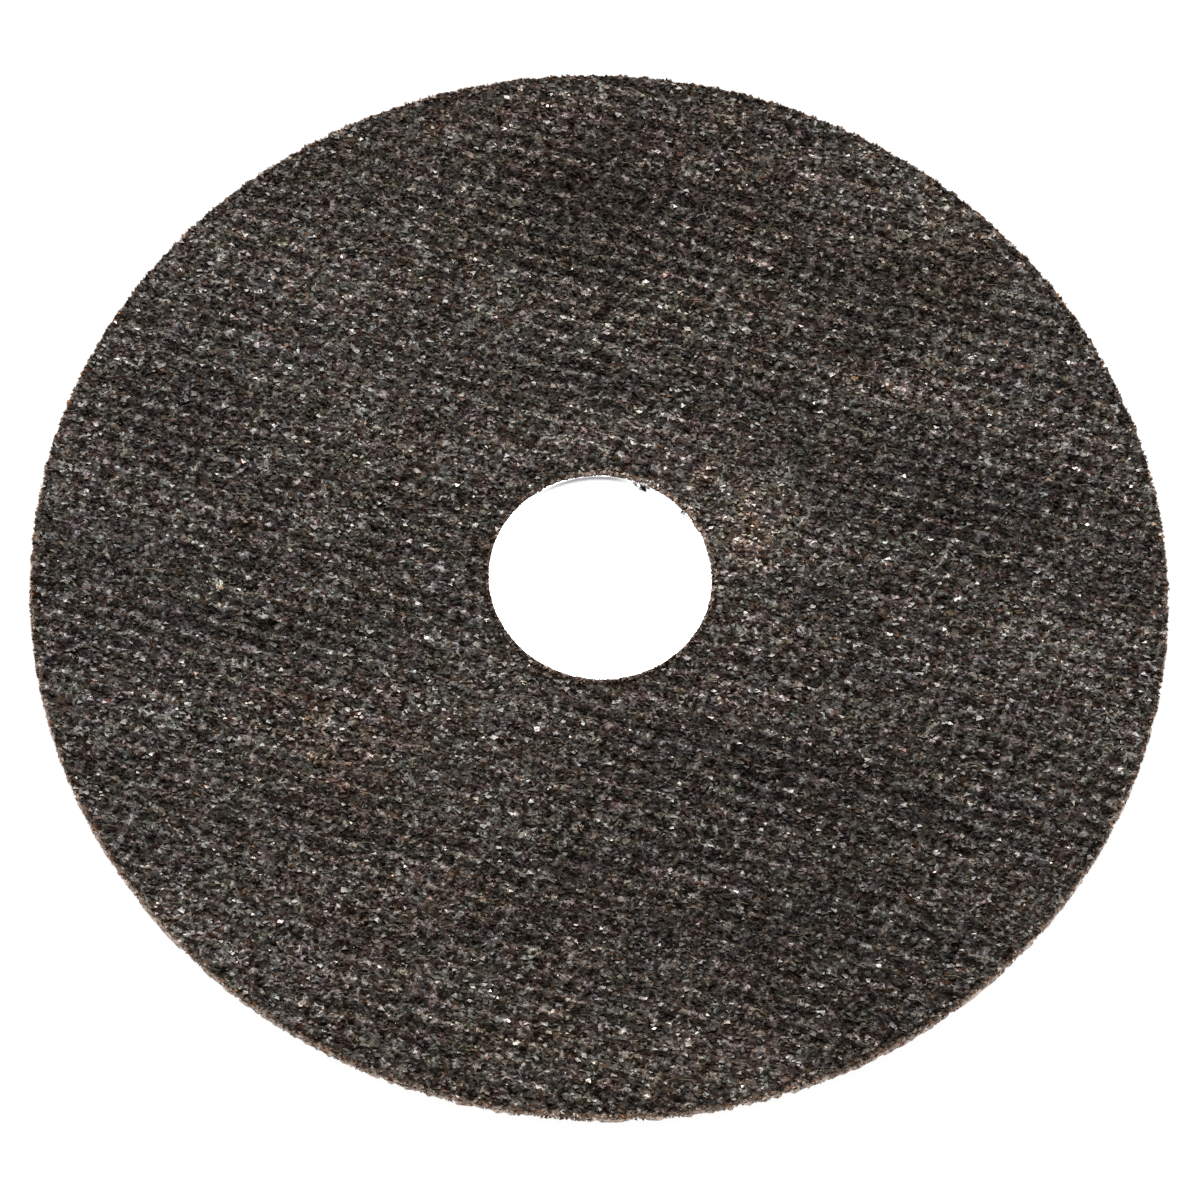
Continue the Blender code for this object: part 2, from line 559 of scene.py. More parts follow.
def pale(tree, colour):
    """A colour from a noise brought nearly to white."""
    mottle = tree.nodes.new("ShaderNodeVectorMath")
    mottle.operation = "MULTIPLY_ADD"
    feed(tree, mottle.inputs[0], colour)
    mottle.inputs[1].default_value = (MOTTLE_STRENGTH,) * 3
    mottle.inputs[2].default_value = (1 - MOTTLE_STRENGTH / 2,) * 3
    return mottle.outputs[0]


def drawn_out(tree, place, share):
    """Places squeezed along the grain's lie, so that a noise on them is drawn out along it."""
    drawn = new_node(tree, "ShaderNodeMapping", Vector=place)
    drawn.inputs["Rotation"].default_value = (0, 0, -GRAIN_LIE)
    drawn.inputs["Scale"].default_value = (share, 1, 1)
    return drawn.outputs[0]


def uneven_shade(tree, place, light, clarity):
    """How light the face is here, by the weave, clumps of grain, long streaks and the stored patches, with
    painted light on the weave's ridges and the painted sheen of some patches.
    """
    woven = calculate(tree, "SUBTRACT", weave_shade(tree, place), WEAVE_MEAN)
    woven = calculate(tree, "MULTIPLY", woven, clarity)
    clump = noise(tree, drawn_out(tree, place, 1 / GRAIN_STRETCH**2), CLUMPS_PER_METRE)
    streak = noise(tree, drawn_out(tree, place, STREAK_SHARE), STREAKS_PER_METRE)
    uneven = calculate(tree, "MULTIPLY_ADD", woven, WEAVE_TONE_AND_RIDGE_LIGHT, 1.0)
    for shade, strength in ((clump, CLUMP_SHADE), (streak, STREAK_SHADE)):
        centred = calculate(tree, "SUBTRACT", shade, 0.5)
        uneven = calculate(tree, "MULTIPLY_ADD", centred, strength, uneven)
    return calculate(tree, "MAXIMUM", calculate(tree, "ADD", uneven, light), DARKEST_SHADE)


def worn_colour(tree, place, height, torn, chances):
    """How far a place is worn, and its worn colour: brown or rusty, and pale low on the wall of the rim as
    painted light from the white floor.
    """
    edge, bright, rim = edge_share(tree, place, torn)
    light_worn = calculate(tree, "POWER", chances.outputs[0], WORN_LIGHT_POWER)
    worn = blend_colours(tree, calculate(tree, "MULTIPLY", light_worn, bright), WORN_DARK, WORN_LIGHT)
    # Low on the rim's wall the colour is paler: painted light, standing in for light from the white floor.
    pale_start, pale_end = FLOOR_LIT_WALL_DEPTHS
    wall = fade(tree, height, FACE_HEIGHT - pale_start, FACE_HEIGHT - pale_end)
    wall = calculate(tree, "MULTIPLY", rim, wall)
    worn = blend_colours(tree, wall, worn, blend_colours(tree, chances.outputs[0], FLOOR_LIT_WALL_DARK, FLOOR_LIT_WALL_LIGHT))
    rusty = calculate(tree, "GREATER_THAN", chances.outputs[2], RUST_SHARE)
    worn = blend_colours(tree, calculate(tree, "MULTIPLY", rusty, bright), worn, WORN_RUST)
    return calculate(tree, "MULTIPLY", edge, WEAR_COVER), worn


def grain_material(name, chances, light_power, roughness, spread):
    """Dark crystals in black resin. Three random numbers for each grain set its light, tint and polish."""
    material, tree, shader, place = new_material(name)
    shader.inputs["Metallic"].default_value = GRAIN_METALLIC
    parts = new_node(tree, "ShaderNodeSeparateXYZ", Vector=chances(tree, place))
    lightness = calculate(tree, "POWER", parts.outputs[0], light_power)
    body = blend_colours(tree, lightness, CRYSTAL_DARK, CRYSTAL_LIGHT)
    plain = calculate(tree, "POWER", lightness, PLAINNESS_POWER)
    plain = calculate(tree, "MULTIPLY", plain, LIGHT_PLAINNESS)
    motley = new_node(tree, "ShaderNodeTexNoise", Vector=place, Scale=MOTTLES_PER_METRE, Detail=2)
    tint = multiply(tree, tint_ramp(tree, parts.outputs[1]), pale(tree, motley.outputs["Color"]))
    tint = blend_colours(tree, plain, tint, PLAIN_TINT)
    body = multiply(tree, body, tint)
    light, rust, olive = stored(tree, "tone")
    slate, torn, clarity = stored(tree, "cast")
    body = multiply(tree, body, uneven_shade(tree, place, light, clarity))
    spots = fade(tree, motley.outputs["Fac"], *SPOT_LEVELS)
    faint, strong = SPOT_STRENGTHS
    spots = calculate(tree, "MULTIPLY_ADD", spots, strong - faint, faint)
    for share, cast in ((rust, RUST_CAST), (olive, OLIVE_CAST), (slate, SLATE_CAST)):
        share = calculate(tree, "MULTIPLY", share, spots)
        body = multiply(tree, body, blend_colours(tree, share, (1, 1, 1, 1), cast))
    # Below the faces the colour darkens to black resin with depth: the resin's colour, and painted shade
    # between grains.
    height = new_node(tree, "ShaderNodeSeparateXYZ", Vector=place).outputs[2]
    inner, outer = DEPTH_SHADE_DEPTHS
    top = fade(tree, height, FACE_HEIGHT - inner, FACE_HEIGHT - outer)
    low = fade(tree, height, inner, outer)
    body = blend_colours(tree, calculate(tree, "MAXIMUM", top, low), RESIN_BLACK_AND_DEPTH_SHADE, body)
    edge, worn = worn_colour(tree, place, height, torn, parts)
    feed(tree, shader.inputs["Base Color"], blend_colours(tree, edge, body, worn))
    polish = calculate(tree, "MULTIPLY_ADD", parts.outputs[2], spread, roughness)
    feed(tree, shader.inputs["Roughness"], polish)
    skin = calculate(tree, "MULTIPLY", noise(tree, place, SKIN_BUMPS_PER_METRE), SKIN_BUMP)
    bump = new_node(tree, "ShaderNodeBump", Height=skin, Distance=1.0)
    feed(tree, shader.inputs["Normal"], bump.outputs[0])
    return material


def cell_chances(tree, place):
    """Three random numbers for each cell of a plate's skin."""
    return new_node(tree, "ShaderNodeTexVoronoi", Vector=place, Scale=CELLS_PER_METRE).outputs["Color"]


def stored_chances(tree, place):
    """Three random numbers that each loose grain holds."""
    tint = tree.nodes.new("ShaderNodeAttribute")
    tint.attribute_name = "tint"
    return tint.outputs["Vector"]


def map_plate(piece):
    """Lays out a plate on its map: its face seen flat, and under it strips for its walls and hidden side."""
    mesh = piece.data
    face, corner = faces_and_corners(mesh)
    middles = read(mesh.polygons, "center", 3)[face]
    normals = read(mesh.polygons, "normal", 3)[face]
    places = read(mesh.vertices, "co", 3)[corner]
    radius = np.hypot(middles[:, 0], middles[:, 1])
    outward = (normals[:, :2] * middles[:, :2]).sum(1) / radius
    facing = normals[:, 2] if places[:, 2].max() > FACE_HEIGHT / 2 else -normals[:, 2]
    uv = 0.5 + MAP_SHARE * places[:, :2] / (2 * RIM_RADIUS) + (0, (1 - MAP_SHARE) / 2)
    middle = np.arctan2(middles[:, 1], middles[:, 0])
    turn = np.arctan2(places[:, 1], places[:, 0])
    turn = middle + (turn - middle + math.pi) % math.tau - math.pi
    at_rim = (radius > RIM_RADIUS - WALL_REACH) & (outward > LEAST_FACING)
    at_bore = (radius < BORE_RADIUS + WALL_REACH) & (outward < -LEAST_FACING)
    for chosen, across, low in (
        (at_rim, places[:, 2] / FACE_HEIGHT, RIM_STRIP),
        (at_bore, places[:, 2] / FACE_HEIGHT, BORE_STRIP),
        (facing < -LEAST_FACING, np.hypot(places[:, 0], places[:, 1]) / RIM_RADIUS, HIDDEN_STRIP),
    ):
        strip = np.stack([0.5 + STRIP_SHARE * turn / math.tau, low + STRIP_HEIGHT * across], 1)
        uv[chosen] = strip[chosen]
    store_map(mesh, uv)


def faces_and_corners(mesh):
    """The face and the vertex of every face corner."""
    corners = read(mesh.polygons, "loop_total", 1).astype(int)[:, 0]
    face = np.repeat(np.arange(len(mesh.polygons)), corners)
    return face, read(mesh.loops, "vertex_index", 1).astype(int)[:, 0]


def store_map(mesh, uv):
    """Keeps a piece's map under the name that the export looks for."""
    mesh.uv_layers.new(name="OFBake").uv.foreach_set("vector", uv.astype(np.float32).ravel())


def map_grains(piece):
    """Gives every grain two squares on its piece's map: one for what faces out, and one for the rest."""
    mesh = piece.data
    places = read(mesh.vertices, "co", 3)
    chances = read(mesh.attributes["tint"].data, "vector", 3)
    grain = np.concatenate([[0], np.cumsum((np.diff(chances, axis=0) != 0).any(1))])
    count = grain[-1] + 1
    middle = np.stack([np.bincount(grain, places[:, axis]) for axis in range(3)], 1)
    middle = (middle / np.bincount(grain)[:, None])[grain]
    out = np.zeros_like(places)
    if np.ptp(places[:, 2]) > WALL_REACH * 2:
        out[:, :2] = middle[:, :2] / np.hypot(middle[:, 0], middle[:, 1])[:, None]
        side = np.stack([-out[:, 1], out[:, 0]], 1)
        across = ((places - middle)[:, :2] * side).sum(1)
        flat = np.stack([across, places[:, 2]], 1)
    else:
        out[:, 2] = 1 if middle[0, 2] > FACE_HEIGHT / 2 else -1
        flat = places[:, :2]
    low = np.full((count, 2), np.inf)
    high = np.full((count, 2), -np.inf)
    np.minimum.at(low, grain, flat)
    np.maximum.at(high, grain, flat)
    inside = (flat - low[grain]) / (high - low)[grain].clip(LEAST_WIDTH)
    face, corner = faces_and_corners(mesh)
    normals = read(mesh.polygons, "normal", 3)[face]
    turned_in = (normals * out[corner]).sum(1) < 0
    square = 2 * grain[corner] + turned_in
    columns = math.ceil(math.sqrt(2 * count))
    corner_square = np.stack([square % columns, square // columns], 1)
    within = SQUARE_MARGIN + (1 - 2 * SQUARE_MARGIN) * inside[corner]
    store_map(mesh, (corner_square + within) / columns)


def dress(piece, finish):
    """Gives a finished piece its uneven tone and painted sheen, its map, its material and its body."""
    stain(piece)
    if "tint" in piece.data.attributes:
        map_grains(piece)
    else:
        map_plate(piece)
    piece.data.materials.clear()
    piece.data.materials.append(finish)
    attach(piece, "root")


grit = grain_material("resin_bonded_grit", cell_chances, light_power=2.0, roughness=0.40, spread=0.30)
front_layer = grit_plate(
    "front_layer", PLATE_FACET, RIM_RADIUS, BORE_RADIUS, BACK_THICKNESS, FACE_HEIGHT, outward=1, seed=11
)
dress(front_layer, grit)
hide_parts("abrasive_disc")

# The back layer. The same grain and resin, under the mesh, down to the face that the wheel lies on. It stops
# at the seat of the steel ring's flange, which lies flush in it, and a plain seat layer bears on the flange.

BACK_FACET = 0.00056

back_layer = grit_plate(
    "back_layer", BACK_FACET, RIM_RADIUS, SEAT_RADIUS, 0, BACK_THICKNESS, outward=-1, seed=12
)
seat_layer = ring_plate("seat_layer", SEAT_RADIUS, BORE_RADIUS, SEAT_HEIGHT, BACK_THICKNESS)
for layer in (back_layer, seat_layer):
    dress(layer, grit)
    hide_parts("abrasive_disc")

# Loose-looking grain. Crushed crystals stand in the skin of the front layer, each turned its own way, and
# reach the mould's flat face at most. Their clean facets glint, and the resin lies dark between them, with
# painted shade that darkens crystals and resin the deeper they lie below the faces.

CRYSTAL_FOOT = 0.55
CRYSTAL_HEIGHT = 0.8
# The crystals: how many sides they have, and how wide they are on top against the foot.
CRYSTAL_SHAPES = ((3, 0.45), (4, 0.0), (3, 0.0), (3, 0.6), (4, 0.0))
GRAIN_RANDOM = 0.16
LEAST_SCALE = 0.55
MOST_SCALE = 1.25
TRIES_PER_SPACING = 3
GRAIN_DEPTH = 0.00028
GRAIN_LIFT = 0.00010
COARSE_SIZE = 0.00052
COARSE_SPACING = 0.00042
MEDIUM_SIZE = 0.00042
MEDIUM_SPACING = 0.00039
FINE_SIZE = 0.00032
FINE_SPACING = 0.00040
GLINT_SIZE = 0.00033
GLINT_SPACING = 0.00088
GRAIN_INSET = 0.00018
FOOT_INSET = 0.00006
LEAST_OVERHANG = 0.40
OVERHANG_WAVE = 0.60
ANY_TURN = ((0, 0, 0), (math.tau, math.tau, math.tau))


def crumple(offset, seed):
    """Moves the corners of the piece just added about at random."""
    bpy.ops.object.mode_set(mode="EDIT")
    bpy.ops.transform.vertex_random(offset=offset, seed=seed)
    bpy.ops.object.mode_set(mode="OBJECT")


def keep_shape(shapes, shape):
    """Moves a shape out of the scene, into the collection that is strewn."""
    shape.users_collection[0].objects.unlink(shape)
    shapes.objects.link(shape)


def grain_shapes():
    """A few crushed crystals, each about one unit across: stub cones with their corners moved about."""
    shapes = bpy.data.collections.new("grain_shapes")
    for index, (sides, top) in enumerate(CRYSTAL_SHAPES):
        deselect_all()
        bpy.ops.mesh.primitive_cone_add(
            vertices=sides, radius1=CRYSTAL_FOOT, radius2=CRYSTAL_FOOT * top, depth=CRYSTAL_HEIGHT
        )
        crystal = bpy.context.object
        crystal.name = "crystal_" + str(index)
        crumple(GRAIN_RANDOM, index + 1)
        keep_shape(shapes, crystal)
    return shapes


def flat_ring(outer, inner, height):
    """A flat sheet with a hole, on which grains are strewn."""
    deselect_all()
    bpy.ops.mesh.primitive_circle_add(
        vertices=TURN_SIDES, radius=outer, fill_type="NGON", location=(0, 0, height)
    )
    sheet = bpy.context.object
    edit(sheet)
    bpy.ops.mesh.select_all(action="SELECT")
    bpy.ops.mesh.inset(thickness=outer - inner)
    bpy.ops.mesh.delete(type="FACE")
    bpy.ops.object.mode_set(mode="OBJECT")
    apply_all(sheet)
    return sheet


def turn_and_stretch(piece, turn, stretch):
    """Turns a piece about the wheel's axis and stretches it along X, in that order."""
    piece.matrix_world = Matrix.Diagonal((stretch, 1, 1, 1)) @ Matrix.Rotation(turn, 4, "Z")
    apply_all(piece)


def random_value(tree, kind, low, high, seed):
    """A random value between two ends for every grain."""
    node = tree.nodes.new("FunctionNodeRandomValue")
    node.data_type = kind
    ends = [socket for socket in node.inputs if socket.enabled and socket.name in ("Min", "Max")]
    ends[0].default_value = low
    ends[1].default_value = high
    node.inputs["Seed"].default_value = seed
    return next(socket for socket in node.outputs if socket.enabled)


def strew(name, ground, shapes, spacing, size, lift, seed, turns=ANY_TURN):
    """Strews grains on a sheet, at least a spacing apart, and makes them one mesh."""
    tree = bpy.data.node_groups.new(name, "GeometryNodeTree")
    tree.interface.new_socket("Geometry", in_out="INPUT", socket_type="NodeSocketGeometry")
    tree.interface.new_socket("Geometry", in_out="OUTPUT", socket_type="NodeSocketGeometry")
    sheet = tree.nodes.new("NodeGroupInput").outputs[0]
    spots = tree.nodes.new("GeometryNodeDistributePointsOnFaces")
    spots.distribute_method = "POISSON"
    feed(tree, spots.inputs["Mesh"], sheet)
    spots.inputs["Distance Min"].default_value = spacing
    spots.inputs["Density Max"].default_value = TRIES_PER_SPACING / spacing**2
    spots.inputs["Seed"].default_value = seed
    moved = new_node(tree, "GeometryNodeSetPosition", Geometry=spots.outputs["Points"])
    offset = random_value(tree, "FLOAT_VECTOR", (0, 0, -lift), (0, 0, lift), seed)
    feed(tree, moved.inputs["Offset"], offset)
    crystals = tree.nodes.new("GeometryNodeCollectionInfo")
    crystals.inputs["Collection"].default_value = shapes
    crystals.inputs["Separate Children"].default_value = True
    crystals.inputs["Reset Children"].default_value = True
    placed = new_node(tree, "GeometryNodeInstanceOnPoints", Points=moved.outputs[0])
    feed(tree, placed.inputs["Instance"], crystals.outputs[0])
    placed.inputs["Pick Instance"].default_value = True
    choice = random_value(tree, "INT", 0, len(shapes.objects) - 1, seed + 1)
    feed(tree, placed.inputs["Instance Index"], choice)
    turn = random_value(tree, "FLOAT_VECTOR", *turns, seed + 2)
    feed(tree, placed.inputs["Rotation"], turn)
    least, most = (size * LEAST_SCALE,) * 3, (size * MOST_SCALE,) * 3
    scale = random_value(tree, "FLOAT_VECTOR", least, most, seed + 3)
    feed(tree, placed.inputs["Scale"], scale)
    tint = new_node(tree, "GeometryNodeStoreNamedAttribute", Geometry=placed.outputs[0])
    tint.data_type = "FLOAT_VECTOR"
    tint.domain = "INSTANCE"
    tint.inputs["Name"].default_value = "tint"
    value = next(socket for socket in tint.inputs if socket.enabled and socket.name == "Value")
    feed(tree, value, random_value(tree, "FLOAT_VECTOR", (0, 0, 0), (1, 1, 1), seed + 4))
    whole = new_node(tree, "GeometryNodeRealizeInstances", Geometry=tint.outputs[0])
    feed(tree, tree.nodes.new("NodeGroupOutput").inputs[0], whole.outputs[0])
    ground.name = name
    ground.data.name = name
    ground.modifiers.new("grain", "NODES").node_group = tree
    apply_all(ground)
    return ground


def keep_in_mould(piece):
    """Draws grains in at the edges, and flattens what stands past the mould's faces or into the ring."""
    places = read(piece.data.vertices, "co", 3)
    draw_in_edges(places)
    radius = np.hypot(places[:, 0], places[:, 1])
    uneven = 1 + OVERHANG_WAVE * sum_of_waves(places, SCALLOP_LENGTHS, SCALLOP_SEED)
    overhang = LEAST_OVERHANG + (1 - LEAST_OVERHANG) * torn_share(places) * uneven
    over_ring = places[:, 2] > ring_high.z
    low_radius = BORE_RADIUS - (BORE_RADIUS - ring_inside) * overhang * over_ring
    high_radius = RIM_RADIUS - FOOT_INSET * (1 - above_foot(places))
    places[:, :2] *= (radius.clip(low_radius, high_radius) / radius)[:, None]
    middle = FACE_HEIGHT / 2
    lift = weave_lift(places)
    places[:, 2] += np.where(places[:, 2] > middle, lift, -lift)
    places[:, 2] = places[:, 2].clip(0, FACE_HEIGHT)
    move_vertices(piece, places)


_, ring_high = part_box("arbor_ring")
ring_inside = min(math.hypot(*vertex.co.xy) for vertex in frame["nodes"]["arbor_ring"].data.vertices)
crystals = grain_shapes()
coated = grain_material("coated_grain", stored_chances, light_power=1.6, roughness=0.25, spread=0.35)
clean = grain_material("clean_grain", stored_chances, light_power=0.4, roughness=0.15, spread=0.15)
for name, size, spacing, seed, finish in (
    ("coarse_grain", COARSE_SIZE, COARSE_SPACING, 21, coated),
    ("medium_grain", MEDIUM_SIZE, MEDIUM_SPACING, 22, coated),
    ("fine_grain", FINE_SIZE, FINE_SPACING, 23, coated),
    ("glint_grain", GLINT_SIZE, GLINT_SPACING, 24, clean),
):
    sheet = flat_ring(RIM_RADIUS - GRAIN_INSET, BORE_RADIUS + GRAIN_INSET, FACE_HEIGHT - GRAIN_DEPTH)
    turn_and_stretch(sheet, turn=0, stretch=1 / GRAIN_STRETCH)
    face_grain = strew(name, sheet, crystals, spacing, size, GRAIN_LIFT, seed)
    turn_and_stretch(face_grain, turn=0, stretch=GRAIN_STRETCH)
    turn_and_stretch(face_grain, turn=GRAIN_LIE, stretch=1)
    keep_in_mould(face_grain)
    dress(face_grain, finish)

# Grain on the underside, which the wheel lies on. The same crushed crystals, a little larger and further
# apart, stand in the skin of the back layer and reach the mould's lower face.

BACK_SIZE = 0.00058
BACK_SPACING = 0.00056

sheet = flat_ring(RIM_RADIUS - GRAIN_INSET, SEAT_RADIUS + GRAIN_INSET, GRAIN_DEPTH)
back_grain = strew("back_grain", sheet, crystals, BACK_SPACING, BACK_SIZE, GRAIN_LIFT, seed=25)
keep_in_mould(back_grain)
dress(back_grain, coated)

# Grain in the rim and in the wall of the bore. Both walls are as rough as they came from the mould, and the
# upper arris of the bore overhangs the ring a little.

EDGE_SIZE = 0.00048
EDGE_SPACING = 0.00030
EDGE_INSET = 0.00020


def upright_ring(radius, low, high):
    """An upright open sheet round the axis, on which grains are strewn."""
    deselect_all()
    bpy.ops.mesh.primitive_cylinder_add(
        vertices=TURN_SIDES, radius=radius, depth=high - low, end_fill_type="NOTHING",
        location=(0, 0, (low + high) / 2),
    )
    sheet = bpy.context.object
    apply_all(sheet)
    return sheet


for name, radius, low, seed in (
    ("rim_grain", RIM_RADIUS - EDGE_INSET, EDGE_INSET + GRAIN_LIFT, 26),
    ("bore_grain", BORE_RADIUS + EDGE_INSET, SEAT_HEIGHT + EDGE_INSET, 27),
):
    sheet = upright_ring(radius, low, FACE_HEIGHT - EDGE_INSET)
    wall_grain = strew(name, sheet, crystals, EDGE_SPACING, EDGE_SIZE, GRAIN_LIFT, seed)
    keep_in_mould(wall_grain)
    dress(wall_grain, coated)

# Grain in the lip of the bore. Large grains stand out over the top of the steel ring where the lip is torn,
# at the back right, and finer grit lines the whole lip.

LIP_REACH = 0.00012
LIP_DEPTH = 0.00008

for name, size, spacing, overhang, least_torn, seed in (
    ("lip_grain", 0.00066, 0.00025, 0.00038, 0.35, 28),
    ("lip_grit", 0.00046, 0.00020, 0.00020, 0, 29),
):
    sheet = flat_ring(BORE_RADIUS + LIP_REACH, BORE_RADIUS - overhang, FACE_HEIGHT - LIP_DEPTH)
    choose_faces(sheet, lambda centres, normals: torn_share(centres) < least_torn)
    edit(sheet)
    bpy.ops.mesh.delete(type="FACE")
    bpy.ops.object.mode_set(mode="OBJECT")
    lip = strew(name, sheet, crystals, spacing, size, LIP_DEPTH / 2, seed)
    keep_in_mould(lip)
    dress(lip, coated)

# Glass fibres. Here and there the woven glass mesh has come to the surface, as thin pale threads that lie
# along the weave.

FIBRE_LENGTH = 0.0016
FIBRE_WIDTH = 0.00008
FIBRE_SIDES = 4
FIBRE_SHAPES = 3
FIBRE_CUTS = 5
FIBRE_BEND = 0.00012
FIBRE_RISE = 0.4
FIBRE_WAVE = 3
FIBRE_SPACING = 0.0042
FIBRE_SINK = 0.00016
FIBRE_STRAY = math.radians(9)
FIBRE_ROUGHNESS = 0.35
STRAW_DARK = (0.10, 0.085, 0.05, 1)
STRAW_LIGHT = (0.42, 0.38, 0.27, 1)
STRAW_PER_METRE = 900


def fibre_shapes():
    """Three thin threads, bent a little, each along X."""
    shapes = bpy.data.collections.new("fibre_shapes")
    for index in range(FIBRE_SHAPES):
        deselect_all()
        bpy.ops.mesh.primitive_cylinder_add(
            vertices=FIBRE_SIDES, radius=FIBRE_WIDTH / 2, depth=FIBRE_LENGTH,
            rotation=(0, math.pi / 2, 0),
        )
        thread = bpy.context.object
        bpy.ops.object.mode_set(mode="EDIT")
        for cut in range(FIBRE_CUTS):
            middle = FIBRE_LENGTH * ((cut + 1) / (FIBRE_CUTS + 1) - 0.5)
            bpy.ops.mesh.select_all(action="SELECT")
            bpy.ops.mesh.bisect(plane_co=(middle, 0, 0), plane_no=(1, 0, 0))
        bpy.ops.object.mode_set(mode="OBJECT")
        apply_all(thread)
        places = read(thread.data.vertices, "co", 3)
        along = places[:, 0] / FIBRE_LENGTH
        places[:, 1] += FIBRE_BEND * np.sin(along * (FIBRE_WAVE + index) + index)
        places[:, 2] += FIBRE_BEND * FIBRE_RISE * np.cos(along * (FIBRE_WAVE + 1 - index))
        move_vertices(thread, places)
        keep_shape(shapes, thread)
    return shapes


def remove_shapes(shapes):
    """Removes the shapes that were strewn, once the pieces made from them are whole."""
    for shape in list(shapes.objects):
        bpy.data.objects.remove(shape)


def fibre_material():
    """Glass threads soaked in resin, from dark to pale straw."""
    material, tree, shader, place = new_material("glass_fibre")
    straw = blend_colours(tree, noise(tree, place, STRAW_PER_METRE), STRAW_DARK, STRAW_LIGHT)
    feed(tree, shader.inputs["Base Color"], straw)
    shader.inputs["Roughness"].default_value = FIBRE_ROUGHNESS
    return material


sheet = flat_ring(RIM_RADIUS - FIBRE_LENGTH, BORE_RADIUS + FIBRE_LENGTH, FACE_HEIGHT - FIBRE_SINK)
fibre_turns = ((0, 0, GRAIN_LIE - FIBRE_STRAY), (0, 0, GRAIN_LIE + FIBRE_STRAY))
threads = fibre_shapes()
fibres = strew(
    "glass_fibres", sheet, threads, FIBRE_SPACING, size=1.0, lift=0, seed=31, turns=fibre_turns
)
keep_in_mould(fibres)
dress(fibres, fibre_material())
remove_shapes(threads)
remove_shapes(crystals)

# The ring. It is pressed from thin tinned strip: a sleeve up the bore, and a flange flush with the underside.
# It keeps its CAD shape. The tin is bright, with a grey shade painted inside the back of the sleeve.

ring = frame["nodes"]["arbor_ring"]
TIN_DULL = (0.80, 0.80, 0.80, 1)
TIN_BRIGHT = (0.95, 0.95, 0.94, 1)
# The grey of the painted shade inside the back of the sleeve.
TIN_PAINTED_SHADE = (0.24, 0.24, 0.27, 1)
SOOT = (0.025, 0.022, 0.020, 1)
SHADE_FOOT = 0.00025
SHADE_BODY = 0.00105
SHADE_HEAD = 0.00130
SHADE_BEHIND = (0.74, 0.97)
SHADE_RIGHT_END = 0.26
SOOT_PER_METRE = 2200
SOOT_LEVELS = (0.50, 0.58)
BLOOM_PER_METRE = 900
TIN_POLISH = 0.15
TIN_BLOOM = 0.3
DENTS_PER_METRE = 500
DENT_DEPTH = 0.00003


def tin_material(name, sooty):
    """Bright tin, dulled by painted grey shade inside the back of the sleeve, and where it is torn by soot.
    """
    material, tree, shader, place = new_material(name)
    bloom = noise(tree, place, BLOOM_PER_METRE, 3)
    tone = blend_colours(tree, bloom, TIN_DULL, TIN_BRIGHT)
    parts = new_node(tree, "ShaderNodeSeparateXYZ", Vector=place).outputs
    # A band of painted shade on the sleeve's inside, at the back towards the left.
    band = fade(tree, parts[2], SHADE_FOOT, SHADE_BODY)
    band = calculate(tree, "MULTIPLY", band, fade(tree, parts[2], ring_high.z, SHADE_HEAD))
    start, end = SHADE_BEHIND
    behind = fade(tree, parts[1], ring_inside * start, ring_inside * end)
    left = fade(tree, parts[0], ring_inside * SHADE_RIGHT_END, 0.0)
    painted_shade = calculate(tree, "MULTIPLY", band, calculate(tree, "MULTIPLY", behind, left))
    soot = fade(tree, noise(tree, place, SOOT_PER_METRE, 1), *SOOT_LEVELS)
    tone = blend_colours(tree, painted_shade, tone, TIN_PAINTED_SHADE)
    tone = blend_colours(tree, calculate(tree, "MULTIPLY", soot, sooty), tone, SOOT)
    feed(tree, shader.inputs["Base Color"], tone)
    shader.inputs["Metallic"].default_value = 1
    feed(tree, shader.inputs["Roughness"], calculate(tree, "MULTIPLY_ADD", bloom, TIN_BLOOM, TIN_POLISH))
    dents = noise(tree, place, DENTS_PER_METRE, 1)
    bump = new_node(tree, "ShaderNodeBump", Height=dents, Distance=DENT_DEPTH)
    feed(tree, shader.inputs["Normal"], bump.outputs[0])
    return material


ring.data.materials.clear()
ring.data.materials.append(tin_material("tinned_steel", sooty=0))

# Torn tin. At the back right the top of the sleeve is torn. Small bent flakes of it, sooty in places, lie
# over the lip of the bore.

# The flakes' places: the turn about the axis, how far they stray from it, and how many there are.
FLAKE_PLACES = (
    (math.radians(70), math.radians(5.5), 20),
    (math.radians(43), math.radians(1.5), 5),
)
FLAKE_SIZE = 0.00068
FLAKE_SCALES = (0.5, 1.1)
FLAKE_REACH = (-0.9, 0.6)
FLAKE_CELLS = 3
FLAKE_CRUMPLE = 0.00010
FLAKE_WALL = 0.00004
FLAKE_TILT = math.radians(35)
FLAKE_SEED = 41

